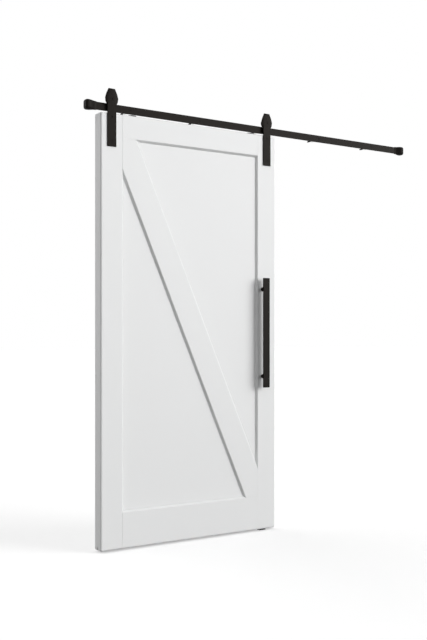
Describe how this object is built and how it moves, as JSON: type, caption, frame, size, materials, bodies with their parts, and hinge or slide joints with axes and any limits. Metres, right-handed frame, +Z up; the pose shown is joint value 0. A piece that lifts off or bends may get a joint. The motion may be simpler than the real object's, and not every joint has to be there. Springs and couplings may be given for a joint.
{
  "type": "sliding barn door",
  "caption": "Braced panel door hung by grooved wheels from a flat wall track with end stops, with a bar handle and a floor guide in its bottom groove.",
  "frame": {"origin": "on the axis of the middle lag bolt, in the face of the wall that the spacers seat on", "axes": "+X along the track to the right as seen from the room, +Y into the wall, +Z up"},
  "size_m": [2.128, 0.154, 2.2602],
  "materials": {
    "white_paint": "satin white paint",
    "dark_metal": "dark bronze powder coat",
    "black_nylon": "turned nylon",
    "bright_steel": "bright zinc plating"
  },
  "bodies": {
    "root": {"track": "dark_metal", "left_end_stop": "dark_metal", "right_end_stop": "dark_metal", "left_stop_screw": "dark_metal", "right_stop_screw": "dark_metal", "wall_spacer_1": "bright_steel", "wall_spacer_2": "bright_steel", "wall_spacer_3": "bright_steel", "wall_spacer_4": "bright_steel", "wall_spacer_5": "bright_steel", "lag_bolts": "dark_metal", "lag_washers": "bright_steel", "floor_guide": "dark_metal"},
    "door": {"left_stile": "white_paint", "right_stile": "white_paint", "top_rail": "white_paint", "bottom_rail": "white_paint", "diagonal_brace": "white_paint", "lower_panel": "white_paint", "upper_panel": "white_paint", "left_anti_jump_disc": "black_nylon", "right_anti_jump_disc": "black_nylon", "anti_jump_screws": "bright_steel", "pull_bar": "dark_metal", "upper_pull_post": "dark_metal", "lower_pull_post": "dark_metal", "pull_screws": "bright_steel", "left_hanger_strap": "dark_metal", "left_strap_washers": "bright_steel", "left_strap_bolts": "dark_metal", "left_barrel_nuts": "bright_steel", "left_axle_bolt": "dark_metal", "left_axle_sleeve": "bright_steel", "left_axle_spacer": "bright_steel", "left_axle_nut": "bright_steel", "left_bearing_inner_ring": "bright_steel", "right_hanger_strap": "dark_metal", "right_strap_washers": "bright_steel", "right_strap_bolts": "dark_metal", "right_barrel_nuts": "bright_steel", "right_axle_bolt": "dark_metal", "right_axle_sleeve": "bright_steel", "right_axle_spacer": "bright_steel", "right_axle_nut": "bright_steel", "right_bearing_inner_ring": "bright_steel"},
    "left_wheel": {"left_wheel": "black_nylon", "left_bearing_outer_ring": "bright_steel", "left_bearing_shields": "bright_steel"},
    "right_wheel": {"right_wheel": "black_nylon", "right_bearing_outer_ring": "bright_steel", "right_bearing_shields": "bright_steel"}
  },
  "joints": [
    {"name": "door_slide", "type": "slide", "parent": "root", "child": "door", "axis": [1, 0, 0], "range_m": [-0.061, 0.9595]},
    {"name": "left_wheel_spin", "type": "hinge", "parent": "door", "child": "left_wheel", "pos_m": [-0.924, -0.062, 0.0392], "axis": [0, 1, 0], "range_deg": [-180, 2757]},
    {"name": "right_wheel_spin", "type": "hinge", "parent": "door", "child": "right_wheel", "pos_m": [0.0255, -0.062, 0.0392], "axis": [0, 1, 0], "range_deg": [-180, 2757]}
  ],
  "couplings": [
    {"joint": "left_wheel_spin", "follows": "door_slide", "rad_per_m": 50},
    {"joint": "right_wheel_spin", "follows": "door_slide", "rad_per_m": 50}
  ]
}
